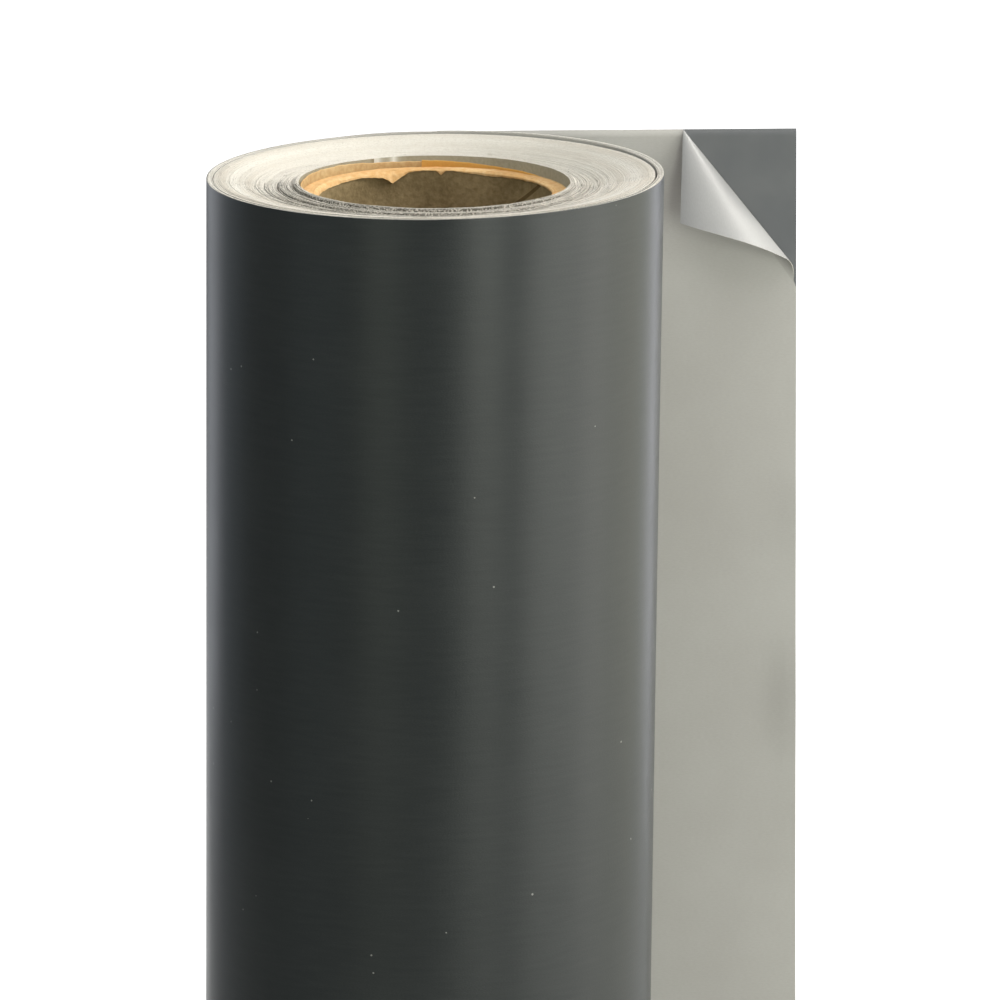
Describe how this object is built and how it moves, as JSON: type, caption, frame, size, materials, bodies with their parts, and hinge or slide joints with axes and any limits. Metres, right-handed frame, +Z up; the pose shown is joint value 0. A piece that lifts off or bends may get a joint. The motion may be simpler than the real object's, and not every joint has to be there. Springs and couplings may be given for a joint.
{
  "type": "roll of sign vinyl",
  "caption": "Roll of self-adhesive sign vinyl on a cardboard core, standing on its end, with loose outer turns, a free end and a peeled corner of the paper liner.",
  "frame": {"origin": "under the middle of the bounding box, at the height of the core's lower end, which the roll stands on", "axes": "+Z up along the roll's axis, +X the way the free web runs off the roll, +Y out of the back of the free web, away from its liner"},
  "size_m": [0.2034, 0.1474, 0.6181],
  "materials": {
    "kraft_board": "matte",
    "torn_kraft": "matte",
    "tape": "satin",
    "wound_web": "matte",
    "release_liner": "satin",
    "vinyl_film": "satin"
  },
  "bodies": {
    "roll": {"core_wall_plies": "kraft_board", "core_inner_ply": "torn_kraft", "core_outer_ply": "kraft_board", "start_tape": "tape", "first_laps": "wound_web", "second_laps": "wound_web", "third_laps": "wound_web", "tight_pack": "wound_web"},
    "loose_turns": {"loose_laps": "wound_web", "last_lap_liner": "release_liner", "last_lap_film": "vinyl_film"},
    "web_lead": {"lead_liner": "release_liner", "lead_film": "vinyl_film"},
    "free_end": {"end_liner": "release_liner", "end_film": "vinyl_film"},
    "liner_flap": {"peeled_liner": "release_liner"}
  },
  "joints": [
    {"name": "unwind", "type": "hinge", "parent": "roll", "child": "loose_turns", "pos_m": [-0.02817, -0.00045, 0.3077], "axis": [0, 0, 1], "range_deg": [0, 180]},
    {"name": "web_payout", "type": "slide", "parent": "loose_turns", "child": "web_lead", "axis": [1, 0, 0], "range_m": [0, 0.235]},
    {"name": "free_end_bend", "type": "hinge", "parent": "web_lead", "child": "free_end", "pos_m": [-0.00267, 0.0734, 0.308], "axis": [0, 0, 1], "range_deg": [-25, 60], "stiffness_Nm_per_rad": 0.05},
    {"name": "liner_peel", "type": "hinge", "parent": "free_end", "child": "liner_flap", "pos_m": [0.04523, 0.0664, 0.61728], "axis": [-0.6386, 0, 0.7696], "range_deg": [-15, 170], "stiffness_Nm_per_rad": 0.002}
  ],
  "couplings": [
    {"joint": "web_payout", "follows": "unwind", "m_per_rad": 0.0742}
  ]
}
